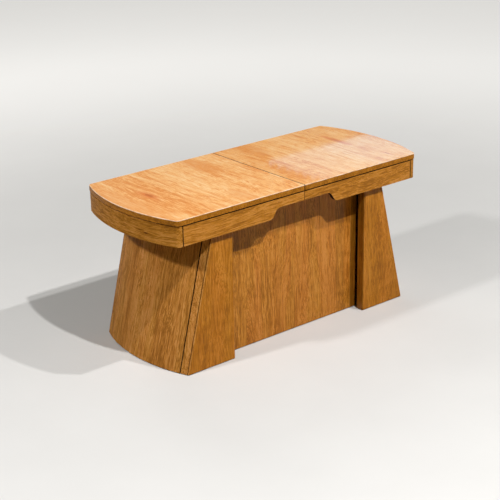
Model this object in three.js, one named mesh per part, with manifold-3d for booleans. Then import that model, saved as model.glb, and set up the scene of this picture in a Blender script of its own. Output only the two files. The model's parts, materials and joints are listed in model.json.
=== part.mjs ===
// Extending bench: two bowed seat halves on U-shaped pedestals, drawn apart over a fixed storage box.
// Millimetres, Z up. Origin on the floor under the middle of the seam, front of the bench towards -Y.
// Both halves are the same set of parts; the right one is the left one turned half round.
import * as THREE from 'three';
import { mergeVertices } from 'three/addons/utils/BufferGeometryUtils.js';
import Module from 'manifold-3d';

const wasm = await Module();
wasm.setup();

// Driving dimensions
const seatHeight = 457;
const seatDepth = 412;
const seatHalfLength = 440; // seam to the straight corner
const seatBow = 42; // how far the curved end passes its corners
const slabThickness = 17;
const apronHeight = 58;
const apronThickness = 13;
const travel = 150; // how far each half draws out

// Seat slab
const seamGap = 1.2;
const slabEase = 2.4;
const slabCornerRadius = 14;
const dowelInset = 70; // from the long edge of the seat
const dowelRadius = 4;
const dowelSunk = 22;
const dowelProud = 16;
const dowelTaper = 1.5;
const dowelHoleSpare = 3;

// Dark lines where two boards meet: a rebate in one of them
const shadowLine = 2.2; // under the slab
const jointLine = 1.8; // between boards
const lineDepth = 4;

// Aprons
const apronSetback = 1.5;
const notchRise = 30;
const notchFlatHalfLength = 89;
const notchHalfLength = 128;
const cornerBlockLeg = 42;
const cornerBlockHeight = 50;
const bearerWidth = 26;
const bearerHeight = 26;
const bearerFromBlock = 4;

// Pedestals
const pedestalBoard = 25;
const pedestalPanel = 20;
const pedestalBow = 38;
const overhangAtFoot = 29; // seat corner to pedestal corner, at the floor
const overhangAtHead = 137; // and under the slab
const pedestalFootWidth = 164; // inner edge to corner, at the floor
const apronToPedestal = 0.5;
const cleatHeight = 24;
const cleatWidth = 26;
const cleatArchRise = 9;
const innerArris = 3; // rounding of a board's edge beside the box

// Storage box
const boxEndBoard = 25;
const boxSideBoard = 20;
const boxEndLap = 12; // how far the box reaches into each pedestal
const boxFloorThickness = 12;
const boxFloorHeight = 30;
const boxFloorHousing = 6;
const boxArris = 4;

// Slides
const railHeight = 26;
const railClearance = 2;
const runnerThickness = 16;
const runnerGap = 0.7;
const runnerPastPinion = 40; // what stays past the pinion when the bench is drawn out
const runnerIntoPedestal = 33;
const runnerLift = 1;
const tongueHeight = 5.2;
const tongueDepth = 4.4;
const grooveFloor = 4;
const tongueGap = 0.4;

// Rack and pinion that keeps both halves in step
const gearModule = 2;
const pinionTeeth = 14;
const pressureAngle = THREE.MathUtils.degToRad(20);
const addendumShare = 0.8;
const dedendumShare = 1.05;
const backlash = 0.5;
const gearThickness = 8;
const gearSideGap = 0.5;
const hubRadius = 7;
const hubHeight = 1;
const axleRadius = 2.5;
const axleHeadRadius = 4.5;
const axleHeadHeight = 1.6;
const axleSunk = 11;
const rackBacking = 3;
const rackSpareTeeth = 3;
const pinionPocketGap = 1.4;

// Glides
const glideRadius = 9;
const glideHeight = 2;
const glideEase = 0.5;
const glideFromEdge = 24;

const fitGap = 0.3; // between pieces that are cut to each other
const overrun = 20; // how far a cutting solid passes the piece that it cuts
const bowSteps = 28;
const roundSteps = 16;
const filletSteps = 4;

// Sizes worked out from the ones above
const seatHalfDepth = seatDepth / 2;
const slabBottom = seatHeight - slabThickness;
const apronBottom = slabBottom - apronHeight;
const apronHalfDepth = seatHalfDepth - apronSetback;
const apronInside = apronHalfDepth - apronThickness;
const pedestalHalfDepth = apronInside - apronToPedestal;
const pedestalInside = pedestalHalfDepth - pedestalBoard;
const pedestalFootCorner = seatHalfLength - overhangAtFoot;
const pedestalHeadCorner = seatHalfLength - overhangAtHead;
const pedestalInnerEdge = pedestalFootCorner - pedestalFootWidth;
const pedestalLean = (pedestalFootCorner - pedestalHeadCorner) / (slabBottom - glideHeight);
const boxHalfDepth = pedestalInside - fitGap - runnerThickness - runnerGap;
const boxHalfLength = pedestalInnerEdge + boxEndLap;
const railBottom = slabBottom - railClearance - railHeight;
const railTop = railBottom + railHeight;
const railMiddle = boxHalfDepth - boxSideBoard / 2;
const runnerFace = boxSideBoard / 2 + runnerGap; // from the middle of the rail
const runnerReach = travel + runnerPastPinion; // past the seam, under the other half
const runnerOuterEnd = pedestalInnerEdge + runnerIntoPedestal;
const pitchRadius = (gearModule * pinionTeeth) / 2;
const toothPitch = Math.PI * gearModule;
const addendum = addendumShare * gearModule;
const dedendum = dedendumShare * gearModule;
const gearTop = railTop - gearSideGap - axleHeadHeight - gearSideGap - hubHeight;
const gearBottom = gearTop - gearThickness;

const finishes = {
  top: { color: 0xc98d4e, roughness: 0.38, metalness: 0 },
  apron: { color: 0xb97b3d, roughness: 0.42, metalness: 0 },
  panel: { color: 0xa96b33, roughness: 0.45, metalness: 0 },
  inner: { color: 0xc7a274, roughness: 0.7, metalness: 0 },
  steel: { color: 0x9b9d9f, roughness: 0.35, metalness: 1 },
  brass: { color: 0xb08a45, roughness: 0.35, metalness: 1 },
  glide: { color: 0x4a3a2c, roughness: 0.8, metalness: 0 },
};

// Solids and meshes
function toSolid(geometry) {
  const bare = geometry.clone();
  bare.deleteAttribute('normal');
  bare.deleteAttribute('uv');
  const merged = mergeVertices(bare);
  const vertProperties = new Float32Array(merged.attributes.position.array);
  const triVerts = new Uint32Array(merged.index.array);
  return new wasm.Manifold(new wasm.Mesh({ numProp: 3, vertProperties, triVerts }));
}

function toGeometry(solid) {
  const mesh = solid.getMesh();
  const geometry = new THREE.BufferGeometry();
  geometry.setAttribute('position', new THREE.BufferAttribute(mesh.vertProperties, 3));
  geometry.setIndex(new THREE.BufferAttribute(mesh.triVerts, 1));
  geometry.computeVertexNormals();
  return geometry;
}

function piece(name, geometry, finish) {
  const mesh = new THREE.Mesh(geometry, new THREE.MeshStandardMaterial(finishes[finish]));
  mesh.name = name;
  return mesh;
}

function outline(points) {
  return new THREE.Shape(points.map(([x, y]) => new THREE.Vector2(x, y)));
}

// A plan outline (x, y) raised from one height to another
function raised(shape, bottom, top) {
  const geometry = new THREE.ExtrudeGeometry(shape, {
    depth: top - bottom,
    bevelEnabled: false,
    curveSegments: roundSteps,
  });
  return geometry.translate(0, 0, bottom);
}

// A front outline (x, z) given a thickness from one depth to another
function fronted(shape, front, back) {
  const geometry = raised(shape, -back, -front);
  const turn = new THREE.Matrix4().makeBasis(
    new THREE.Vector3(1, 0, 0),
    new THREE.Vector3(0, 0, 1),
    new THREE.Vector3(0, -1, 0),
  );
  return geometry.applyMatrix4(turn);
}

// A cross section (y, z) run along X
function swept(shape, start, end) {
  const turn = new THREE.Matrix4().makeBasis(
    new THREE.Vector3(0, 1, 0),
    new THREE.Vector3(0, 0, 1),
    new THREE.Vector3(1, 0, 0),
  );
  return raised(shape, start, end).applyMatrix4(turn);
}

function block(x0, x1, y0, y1, z0, z1) {
  const geometry = new THREE.BoxGeometry(x1 - x0, y1 - y0, z1 - z0);
  return geometry.translate((x0 + x1) / 2, (y0 + y1) / 2, (z0 + z1) / 2);
}

function cut(geometry, ...cutters) {
  return toGeometry(cutters.reduce((solid, cutter) => solid.subtract(toSolid(cutter)), toSolid(geometry)));
}

function common(geometry, limit) {
  return toGeometry(toSolid(geometry).intersect(toSolid(limit)));
}

function joined(geometry, addition) {
  return toGeometry(toSolid(geometry).add(toSolid(addition)));
}

// The bowed end of the left half: an arc through both corners
function bowOf(cornerX, halfDepth, bow) {
  const radius = (halfDepth * halfDepth + bow * bow) / (2 * bow);
  return { centre: radius - bow - cornerX, radius };
}

function bowX(arc, y) {
  return arc.centre - Math.sqrt(arc.radius * arc.radius - y * y);
}

function inset(arc, amount) {
  return { centre: arc.centre, radius: arc.radius - amount };
}

// Points of the bow between two depths, front one first
function bowPoints(arc, fromY, toY, steps) {
  const from = Math.asin(fromY / arc.radius);
  const to = Math.asin(toY / arc.radius);
  const points = [];
  for (let i = 0; i <= steps; i += 1) {
    const angle = from + ((to - from) * i) / steps;
    points.push([arc.centre - arc.radius * Math.cos(angle), arc.radius * Math.sin(angle)]);
  }
  return points;
}

// The bowed end with both corners rounded, front corner first
function roundedEnd(arc, halfDepth, radius) {
  const reach = arc.radius - radius;
  const side = halfDepth - radius;
  const cornerX = arc.centre - Math.sqrt(reach * reach - side * side);
  const bowAngle = Math.asin(side / reach);
  const front = [];
  for (let i = 0; i < filletSteps; i += 1) {
    const angle = -Math.PI / 2 + ((Math.PI / 2 - bowAngle) * -i) / filletSteps;
    front.push([cornerX + radius * Math.cos(angle), -side + radius * Math.sin(angle)]);
  }
  const touch = arc.radius * Math.sin(bowAngle);
  const back = front.map(([x, y]) => [x, -y]).reverse();
  return [...front, ...bowPoints(arc, -touch, touch, bowSteps), ...back];
}

const seatArc = bowOf(seatHalfLength, seatHalfDepth, seatBow);
const apronArc = inset(seatArc, apronSetback);
const apronInnerArc = inset(apronArc, apronThickness);
const pedestalArc = bowOf(pedestalFootCorner, pedestalHalfDepth, pedestalBow);
const panelInnerArc = inset(pedestalArc, pedestalPanel);

// Everything inside a bow, cut square at a given x
function insideBow(arc, halfDepth, innerX) {
  return outline([[innerX, -halfDepth], ...bowPoints(arc, -halfDepth, halfDepth, bowSteps), [innerX, halfDepth]]);
}

// A prism whose bowed side leans inwards as it rises
function leaning(shape, bottom, top) {
  const lean = new THREE.Matrix4().makeShear(0, 0, 0, 0, pedestalLean, 0);
  return raised(shape, 0, top - bottom).applyMatrix4(lean).translate(0, 0, bottom);
}

// Rounds the corner at (x, y), whose outward directions are dx and dy
function roundedCorner(x, y, dx, dy, radius) {
  const points = [];
  for (let i = 0; i <= filletSteps; i += 1) {
    const angle = (Math.PI / 2) * (i / filletSteps);
    points.push([x - dx * radius * (1 - Math.sin(angle)), y - dy * radius * (1 - Math.cos(angle))]);
  }
  return points;
}

function dowelHole(y) {
  const depth = dowelSunk + dowelHoleSpare;
  const hole = new THREE.CylinderGeometry(dowelRadius + fitGap, dowelRadius + fitGap, depth + overrun, roundSteps);
  const middle = -depth + (depth + overrun) / 2;
  return hole.rotateZ(Math.PI / 2).translate(middle, y, slabBottom + slabThickness / 2);
}

function seatSlab() {
  const end = roundedEnd(seatArc, seatHalfDepth, slabCornerRadius);
  const shape = outline([[overrun, -seatHalfDepth], ...end, [overrun, seatHalfDepth]]);
  const slab = new THREE.ExtrudeGeometry(shape, {
    depth: slabThickness - 2 * slabEase,
    bevelThickness: slabEase,
    bevelSize: slabEase,
    bevelOffset: -slabEase,
    bevelSegments: 2,
  }).translate(0, 0, slabBottom + slabEase);
  const pastSeam = block(
    -seamGap / 2, 2 * overrun, -seatDepth, seatDepth, slabBottom - overrun, seatHeight + overrun,
  );
  const dowelY = seatHalfDepth - dowelInset;
  return cut(slab, pastSeam, dowelHole(-dowelY), dowelHole(dowelY));
}

// The dowel stands in this half and enters the hole of the other one
function seamDowel() {
  const profile = [
    [0, -dowelSunk],
    [dowelRadius, -dowelSunk],
    [dowelRadius, dowelProud - dowelTaper],
    [dowelRadius - dowelTaper, dowelProud],
    [0, dowelProud],
  ].map(([radius, along]) => new THREE.Vector2(radius, along));
  const dowel = new THREE.LatheGeometry(profile, roundSteps);
  const y = -(seatHalfDepth - dowelInset);
  return dowel.rotateZ(-Math.PI / 2).translate(0, y, slabBottom + slabThickness / 2);
}

// Front outline of a long apron, with the hand notch stepped up at the seam
function apronOutline() {
  const notchTop = apronBottom + notchRise;
  const middle = -(notchFlatHalfLength + notchHalfLength) / 2;
  const far = seatArc.centre - seatArc.radius;
  const shape = new THREE.Shape();
  shape.moveTo(-seamGap / 2, slabBottom);
  shape.lineTo(far, slabBottom);
  shape.lineTo(far, apronBottom);
  shape.lineTo(-notchHalfLength, apronBottom);
  shape.bezierCurveTo(middle, apronBottom, middle, notchTop, -notchFlatHalfLength, notchTop);
  shape.lineTo(-seamGap / 2, notchTop);
  return shape;
}

function longApron(side) {
  const outer = side * apronHalfDepth;
  const inner = side * apronInside;
  const board = fronted(apronOutline(), Math.min(outer, inner), Math.max(outer, inner));
  const within = insideBow(inset(apronInnerArc, fitGap), seatHalfDepth, overrun);
  const apron = common(board, raised(within, apronBottom - overrun, slabBottom + overrun));
  const lineFloor = side * (apronHalfDepth - lineDepth);
  const outside = side * (apronHalfDepth + overrun);
  const front = Math.min(lineFloor, outside);
  const back = Math.max(lineFloor, outside);
  const far = seatArc.centre - seatArc.radius;
  const underSlab = block(far, overrun, front, back, slabBottom - shadowLine, seatHeight);
  const lineEnd = bowX(apronInnerArc, apronHalfDepth) + jointLine;
  const besideEnd = block(far, lineEnd, front, back, apronBottom - overrun, seatHeight);
  return cut(apron, underSlab, besideEnd);
}

// The end apron's plan, drawn in from its outer faces
function endApronPlan(amount) {
  const halfDepth = apronHalfDepth - amount;
  const outside = roundedEnd(inset(apronArc, amount), halfDepth, slabCornerRadius - apronSetback - amount);
  return outline([...outside, ...bowPoints(apronInnerArc, halfDepth, -halfDepth, bowSteps)]);
}

function endApron() {
  const board = raised(endApronPlan(0), apronBottom, slabBottom - shadowLine);
  return joined(board, raised(endApronPlan(lineDepth), apronBottom, slabBottom));
}

function cornerBlock(side) {
  const cornerX = bowX(apronInnerArc, apronInside);
  const shape = outline([
    [cornerX - cornerBlockLeg, -apronInside],
    [cornerX + cornerBlockLeg, -apronInside],
    [cornerX - cornerBlockLeg, -apronInside + 2 * cornerBlockLeg],
  ]);
  const wedge = raised(shape, slabBottom - cornerBlockHeight, slabBottom);
  const within = raised(insideBow(inset(apronInnerArc, fitGap), apronInside, overrun), apronBottom, seatHeight);
  const front = common(wedge, within);
  return side < 0 ? front : cornerBlockMirrored(front);
}

// The same block for the back corner, its faces turned outwards again
function cornerBlockMirrored(geometry) {
  const mirrored = geometry.clone().scale(1, -1, 1);
  const index = mirrored.index.array;
  for (let i = 0; i < index.length; i += 3) {
    [index[i], index[i + 1]] = [index[i + 1], index[i]];
  }
  mirrored.computeVertexNormals();
  return mirrored;
}

function endBearer() {
  const x = bowX(apronInnerArc, apronInside) + cornerBlockLeg + bearerFromBlock;
  const y = apronInside - fitGap;
  return block(x, x + bearerWidth, -y, y, slabBottom - bearerHeight, slabBottom);
}

// The whole pedestal as one leaning solid, from which its boards are cut
function pedestalBody(arc, halfDepth) {
  return leaning(insideBow(arc, halfDepth, pedestalFootCorner), glideHeight, slabBottom);
}

function pedestalSide(side) {
  const outer = side * pedestalHalfDepth;
  const inner = side * pedestalInside;
  const far = seatArc.centre - seatArc.radius;
  const arris = roundedCorner(-pedestalInnerEdge, outer, 1, side, innerArris);
  const plan = outline([[far, inner], [far, outer], ...arris, [-pedestalInnerEdge, inner]]);
  return common(raised(plan, glideHeight, slabBottom), pedestalBody(pedestalArc, pedestalHalfDepth));
}

function pedestalEnd() {
  const halfDepth = pedestalInside - fitGap;
  const faceHalf = halfDepth - jointLine;
  const lineArc = inset(pedestalArc, lineDepth);
  const face = bowPoints(pedestalArc, -faceHalf, faceHalf, bowSteps);
  const inside = bowPoints(panelInnerArc, halfDepth, -halfDepth, bowSteps);
  const backLine = [[bowX(lineArc, faceHalf), faceHalf], [bowX(lineArc, halfDepth), halfDepth]];
  const frontLine = backLine.map(([x, y]) => [x, -y]).reverse();
  return leaning(outline([...face, ...backLine, ...inside, ...frontLine]), glideHeight, slabBottom);
}

// A cleat behind the end panel, scribed to its bow and lean, with a shallow arch towards the middle
function panelCleat(bottom, halfDepth) {
  const lean = pedestalLean * (bottom - glideHeight);
  const back = bowX(panelInnerArc, pedestalInside) + cleatWidth + fitGap;
  const shape = new THREE.Shape();
  const [first, ...rest] = bowPoints(inset(panelInnerArc, fitGap), -halfDepth, halfDepth, bowSteps);
  shape.moveTo(first[0], first[1]);
  rest.forEach(([x, y]) => shape.lineTo(x, y));
  shape.lineTo(back, halfDepth);
  shape.quadraticCurveTo(back - 2 * cleatArchRise, 0, back, -halfDepth);
  return leaning(shape, bottom, bottom + cleatHeight).translate(lean, 0, 0);
}

function headCleat() {
  const halfDepth = railMiddle - runnerFace - runnerThickness - fitGap;
  return panelCleat(slabBottom - cleatHeight, halfDepth);
}

function footCleat() {
  return panelCleat(glideHeight, pedestalInside - fitGap);
}

// Runner on the front side of a rail, with a tongue in the rail and a rebate for its rack
function runner(railY) {
  const face = railY - runnerFace;
  const back = face - runnerThickness;
  const bottom = railBottom + runnerLift;
  const tongueBottom = railBottom + grooveFloor + tongueGap;
  const section = outline([
    [back, bottom],
    [face, bottom],
    [face, tongueBottom],
    [face + tongueDepth, tongueBottom],
    [face + tongueDepth, tongueBottom + tongueHeight],
    [face, tongueBottom + tongueHeight],
    [face, slabBottom],
    [back, slabBottom],
  ]);
  const bar = swept(section, -runnerOuterEnd, runnerReach);
  const pastSeam = block(
    -seamGap / 2, runnerReach + overrun, back - overrun, face + overrun, slabBottom - runnerLift, seatHeight,
  );
  const [rackStart, rackEnd] = rackSpan();
  const rebate = block(
    rackStart - fitGap, rackEnd + fitGap, rackBack(railY) - fitGap, face + overrun,
    gearBottom - fitGap, gearTop + fitGap,
  );
  return cut(bar, pastSeam, rebate);
}

function rackSpan() {
  const reach = Math.ceil(travel / toothPitch) + rackSpareTeeth;
  return [-rackSpareTeeth * toothPitch, reach * toothPitch];
}

function rackBack(railY) {
  return railY - pitchRadius - dedendum - rackBacking;
}

// Straight-sided teeth that face the pinion, with a gap at the seam when the bench is closed
function rack(railY) {
  const [start, end] = rackSpan();
  const pitchLine = railY - pitchRadius;
  const root = pitchLine - dedendum;
  const tip = pitchLine + addendum;
  const halfTooth = (toothPitch / 2 - backlash / 2) / 2;
  const halfRoot = halfTooth + dedendum * Math.tan(pressureAngle);
  const halfTip = halfTooth - addendum * Math.tan(pressureAngle);
  const points = [[start, rackBack(railY)], [end, rackBack(railY)], [end, root]];
  for (let x = end - toothPitch / 2; x > start; x -= toothPitch) {
    points.push([x + halfRoot, root], [x + halfTip, tip], [x - halfTip, tip], [x - halfRoot, root]);
  }
  points.push([start, root]);
  return raised(outline(points), gearBottom, gearTop);
}

// Involute teeth, with radial flanks below the base circle
function pinionOutline() {
  const base = pitchRadius * Math.cos(pressureAngle);
  const tip = pitchRadius + addendum;
  const root = pitchRadius - dedendum;
  const flankSteps = 4;
  const unwind = (radius) => {
    const angle = Math.acos(Math.min(1, base / radius));
    return Math.tan(angle) - angle;
  };
  const halfAtPitch = (toothPitch / 2 - backlash / 2) / 2 / pitchRadius;
  const halfAt = (radius) => halfAtPitch + unwind(pitchRadius) - unwind(radius);
  const flank = [[root, halfAt(base)]];
  for (let i = 0; i <= flankSteps; i += 1) {
    const radius = base + ((tip - base) * i) / flankSteps;
    flank.push([radius, halfAt(radius)]);
  }
  const points = [];
  for (let tooth = 0; tooth < pinionTeeth; tooth += 1) {
    const middle = -Math.PI / 2 + (2 * Math.PI * tooth) / pinionTeeth;
    const rising = flank.map(([radius, half]) => [radius, middle - half]);
    const falling = flank.map(([radius, half]) => [radius, middle + half]).reverse();
    points.push(...[...rising, ...falling].map(([r, angle]) => [r * Math.cos(angle), r * Math.sin(angle)]));
  }
  return outline(points);
}

function pinion(railY) {
  const gear = raised(pinionOutline(), gearBottom, gearTop);
  const hub = new THREE.CylinderGeometry(hubRadius, hubRadius, gearThickness + hubHeight, roundSteps)
    .rotateX(Math.PI / 2).translate(0, 0, gearBottom + (gearThickness + hubHeight) / 2);
  const bore = new THREE.CylinderGeometry(axleRadius + fitGap, axleRadius + fitGap, railHeight + overrun, roundSteps)
    .rotateX(Math.PI / 2).translate(0, 0, gearBottom);
  return cut(joined(gear, hub), bore).translate(0, railY, 0);
}

// Fixed rail on the top edge of the box side, grooved on both faces and pocketed for the pinion
function rail(railY) {
  const half = boxSideBoard / 2;
  const grooveBottom = railBottom + grooveFloor;
  const grooveTop = grooveBottom + tongueHeight + 2 * tongueGap;
  const web = half + runnerGap - tongueDepth - tongueGap;
  const rightSide = [
    [half, railBottom], [half, grooveBottom], [web, grooveBottom],
    [web, grooveTop], [half, grooveTop], [half, railTop],
  ];
  const leftSide = rightSide.map(([y, z]) => [-y, z]).reverse();
  const bar = swept(outline([...rightSide, ...leftSide]), -boxHalfLength, boxHalfLength);
  const pocketHalf = pitchRadius + addendum + pinionPocketGap;
  const pocket = block(
    -pocketHalf, pocketHalf, -half - overrun, half + overrun, gearBottom - gearSideGap, railTop + overrun,
  );
  const socket = new THREE.CylinderGeometry(axleRadius + fitGap, axleRadius + fitGap, axleSunk + overrun, roundSteps)
    .rotateX(Math.PI / 2).translate(0, 0, gearBottom - axleSunk - fitGap + (axleSunk + overrun) / 2);
  return cut(bar, pocket, socket).translate(0, railY, 0);
}

// Headed pin that the pinion turns on
function axle(railY) {
  const underHead = gearTop + hubHeight + gearSideGap;
  const profile = [
    [0, gearBottom - axleSunk],
    [axleRadius, gearBottom - axleSunk],
    [axleRadius, underHead],
    [axleHeadRadius, underHead],
    [axleHeadRadius, underHead + axleHeadHeight],
    [0, underHead + axleHeadHeight],
  ].map(([radius, height]) => new THREE.Vector2(radius, height));
  return new THREE.LatheGeometry(profile, roundSteps).rotateX(Math.PI / 2).translate(0, railY, 0);
}

function boxSide(side) {
  const outer = side * boxHalfDepth;
  const inner = side * (boxHalfDepth - boxSideBoard);
  const x = boxHalfLength - boxEndBoard;
  const board = block(-x, x, Math.min(outer, inner), Math.max(outer, inner), glideHeight, railBottom);
  return cut(board, boxFloorGroove());
}

function boxEnd(side) {
  const outer = side * boxHalfLength;
  const inner = side * (boxHalfLength - boxEndBoard);
  const front = roundedCorner(outer, -boxHalfDepth, side, -1, boxArris);
  const back = roundedCorner(outer, boxHalfDepth, side, 1, boxArris).reverse();
  const plan = outline([[inner, -boxHalfDepth], ...front, ...back, [inner, boxHalfDepth]]);
  return cut(raised(plan, glideHeight, railBottom), boxFloorGroove());
}

function boxFloorBlock(gap) {
  const x = boxHalfLength - boxEndBoard + boxFloorHousing;
  const y = boxHalfDepth - boxSideBoard + boxFloorHousing;
  return block(-x - gap, x + gap, -y - gap, y + gap, boxFloorHeight - gap, boxFloorHeight + boxFloorThickness + gap);
}

// The floor is housed in a groove that runs round all four boards
function boxFloorGroove() {
  return boxFloorBlock(fitGap);
}

function glide(x, y) {
  const profile = [
    [0, 0],
    [glideRadius - glideEase, 0],
    [glideRadius, glideEase],
    [glideRadius, glideHeight],
    [0, glideHeight],
  ].map(([radius, height]) => new THREE.Vector2(radius, height));
  return new THREE.LatheGeometry(profile, roundSteps).rotateX(Math.PI / 2).translate(x, y, 0);
}

function half(side) {
  const group = new THREE.Group();
  const add = (name, geometry, finish) => group.add(piece(`${side}_${name}`, geometry, finish));
  add('seat_slab', seatSlab(), 'top');
  add('seam_dowel', seamDowel(), 'inner');
  add('end_apron', endApron(), 'apron');
  add('end_bearer', endBearer(), 'inner');
  for (const [place, sign] of [['near', -1], ['far', 1]]) {
    add(`${place}_apron`, longApron(sign), 'apron');
    add(`${place}_corner_block`, cornerBlock(sign), 'inner');
    add(`${place}_pedestal_board`, pedestalSide(sign), 'panel');
    add(`${place}_runner`, runner(sign * railMiddle), 'inner');
    add(`${place}_rack`, rack(sign * railMiddle), 'steel');
    const glideY = sign * (pedestalHalfDepth - pedestalBoard / 2);
    add(`${place}_inner_glide`, glide(-pedestalInnerEdge - glideFromEdge, glideY), 'glide');
    add(`${place}_outer_glide`, glide(-pedestalFootCorner + glideFromEdge, glideY), 'glide');
  }
  add('pedestal_panel', pedestalEnd(), 'panel');
  add('head_cleat', headCleat(), 'inner');
  add('foot_cleat', footCleat(), 'inner');
  return group;
}

function storageBox() {
  const group = new THREE.Group();
  group.add(piece('box_floor', boxFloorBlock(0), 'inner'));
  for (const [place, sign] of [['front', -1], ['back', 1]]) {
    const railY = sign * railMiddle;
    group.add(piece(`box_${place}`, boxSide(sign), 'panel'));
    group.add(piece(`${place}_rail`, rail(railY), 'inner'));
    group.add(piece(`${place}_pinion`, pinion(railY), 'brass'));
    group.add(piece(`${place}_pinion_axle`, axle(railY), 'steel'));
    for (const [end, direction] of [['left', -1], ['right', 1]]) {
      const glideX = direction * (boxHalfLength - boxEndBoard - glideFromEdge);
      group.add(piece(`box_${place}_${end}_glide`, glide(glideX, railY), 'glide'));
    }
  }
  group.add(piece('box_left_end', boxEnd(-1), 'panel'));
  group.add(piece('box_right_end', boxEnd(1), 'panel'));
  return group;
}

const bench = new THREE.Group();
const rightHalf = half('right');
rightHalf.rotation.z = Math.PI;
bench.add(half('left'), rightHalf, storageBox());

export default bench;
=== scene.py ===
import json
from math import asin, cos, pi, radians, sin, sqrt

import bmesh
import bpy
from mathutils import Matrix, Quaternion, Vector
from mathutils.bvhtree import BVHTree


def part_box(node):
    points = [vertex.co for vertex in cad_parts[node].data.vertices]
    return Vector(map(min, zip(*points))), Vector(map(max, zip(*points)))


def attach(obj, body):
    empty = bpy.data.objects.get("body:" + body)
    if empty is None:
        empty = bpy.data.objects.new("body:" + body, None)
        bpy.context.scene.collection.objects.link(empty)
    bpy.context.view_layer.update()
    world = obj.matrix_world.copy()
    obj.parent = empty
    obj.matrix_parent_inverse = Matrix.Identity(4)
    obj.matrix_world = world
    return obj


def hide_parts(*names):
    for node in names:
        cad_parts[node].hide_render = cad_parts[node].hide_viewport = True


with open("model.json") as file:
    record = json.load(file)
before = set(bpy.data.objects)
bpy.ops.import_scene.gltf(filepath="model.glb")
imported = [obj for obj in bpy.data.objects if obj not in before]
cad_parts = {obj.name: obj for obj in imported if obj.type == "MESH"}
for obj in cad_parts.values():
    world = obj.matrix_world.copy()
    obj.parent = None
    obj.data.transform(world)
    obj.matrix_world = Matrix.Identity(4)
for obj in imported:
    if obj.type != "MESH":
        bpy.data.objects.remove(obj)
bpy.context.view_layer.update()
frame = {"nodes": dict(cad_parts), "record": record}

scene = bpy.context.scene
nodes = frame["nodes"]
record = frame["record"]
nodeBody = {name: body for body, members in record["behaviour"]["bodies"].items() for name in members}

sizes = {                    # metres, as the bench is built
    "seatDepth": 0.412,
    "cornerX": 0.440,        # seam to the straight corner
    "bow": 0.042,            # curved end past its corners
    "apronSetback": 0.0015,
    "pedestalCorner": 0.411, # at the floor
    "pedestalBow": 0.038,
    "panelThickness": 0.020,
    "slabBottom": 0.440,
    "arris": 0.0006,         # rounding of a board's edges
    "shadowLine": 0.0022,    # dark line under the slab
    "jointLine": 0.0018,     # and between two boards
    "lineDepth": 0.004,
    "nearLine": 0.0008,      # a face this near to a line is painted dark with it, as stain and painted shade
    "besideEnd": 0.4230,     # where the long aprons' joint line starts
    "nearSeam": 0.001,       # a face this near to the middle is at the seam
    "spare": 0.0001,         # for comparing two places
    "lean": 0.108 / 0.438,   # inwards per metre of height
}
square = 0.98                # a normal this far along an axis is square to it


# Camera: fitted to the bench's edges in the 500 x 500 picture
def placeCamera():
    view = {
        "azimuth": -39.655, "elevation": 21.083, "roll": -0.934,
        "target": (-0.0915, -0.0743, 0.25), "distance": 3.779,
        "focalPixels": 1326.5, "framePixels": 500, "sensor": 36.0,
    }
    az, el = radians(view["azimuth"]), radians(view["elevation"])
    back = Vector((sin(az) * cos(el), -cos(az) * cos(el), sin(el)))
    data = bpy.data.cameras.new("camera")
    data.sensor_width = view["sensor"]
    data.lens = view["focalPixels"] / view["framePixels"] * view["sensor"]
    camera = bpy.data.objects.new("camera", data)
    camera.location = Vector(view["target"]) + back * view["distance"]
    camera.rotation_mode = "QUATERNION"
    turn = back.to_track_quat("Z", "Y")
    camera.rotation_quaternion = turn @ Quaternion((0, 0, 1), radians(view["roll"]))
    scene.collection.objects.link(camera)
    scene.camera = camera


def aimedLight(name, place, aim, size, power, sizeY=None):
    data = bpy.data.lights.new(name, "AREA")
    data.shape = "RECTANGLE" if sizeY else "DISK"
    data.size = size
    if sizeY:
        data.size_y = sizeY
    data.energy = power
    light = bpy.data.objects.new(name, data)
    light.location = place
    light.rotation_mode = "QUATERNION"
    light.rotation_quaternion = (Vector(place) - Vector(aim)).to_track_quat("Z", "Y")
    scene.collection.objects.link(light)
    return light


# Four ceiling lights. The front ones and the left one are placed by the shadows under the aprons
def lightStage():
    bench = (0, -0.05, 0.3)
    leftHalf = (-0.2, 0, 0.3)
    lights = {       # place, what it is aimed at, size and power
        "frontLeftLight": ((-0.36, -1.85, 2.95), bench, 0.08, 70),
        "frontRightLight": ((0.84, -1.65, 2.95), bench, 0.08, 47.5),
        "leftLight": ((-3.37, 0.26, 2.95), leftHalf, 0.3, 74),
        "backLight": ((0.6, 3.0, 3.1), bench, 1.6, 30),
    }
    room = {"color": (0.98, 0.96, 0.70, 1), "strength": 0.058}
    for name, (place, aim, size, power) in lights.items():
        aimedLight(name, place, aim, size, power)
    world = bpy.data.worlds.new("studio")
    world.use_nodes = True
    background = world.node_tree.nodes["Background"]
    background.inputs["Color"].default_value = room["color"]
    background.inputs["Strength"].default_value = room["strength"]
    scene.world = world
    scene.view_settings.view_transform = "Standard"


# A window that only gloss shows. A curtain covers its left part, drawn aside at a slant
def hangWindow():
    window = {
        "y": 2.5, "sill": 1.464, "rows": 7, "rowHeight": 0.03, "right": 3.6, "color": (0.15, 0.67, 1.0),
        "hem": 2.155, "hemSlope": 0.477,       # the curtain's left edge: where at the sill, rise over run
        "fold": 2.562, "foldSlope": 0.44,      # and its right edge
        "throughCurtain": 8.6, "clear": 12.5,  # power for each square metre
    }
    for row in range(window["rows"]):
        up = (row + 0.5) * window["rowHeight"]
        z = window["sill"] + up
        hem = window["hem"] + up / window["hemSlope"]
        fold = window["fold"] + up / window["foldSlope"]
        panes = ((hem, fold, window["throughCurtain"]), (fold, window["right"], window["clear"]))
        for left, right, glow in panes:
            x = (left + right) / 2
            width = right - left
            power = glow * width * window["rowHeight"]
            pane = aimedLight("windowPane", (x, window["y"], z), (x, 0, z), width, power, window["rowHeight"])
            pane.data.color = window["color"]
            pane.visible_diffuse = False


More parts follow.
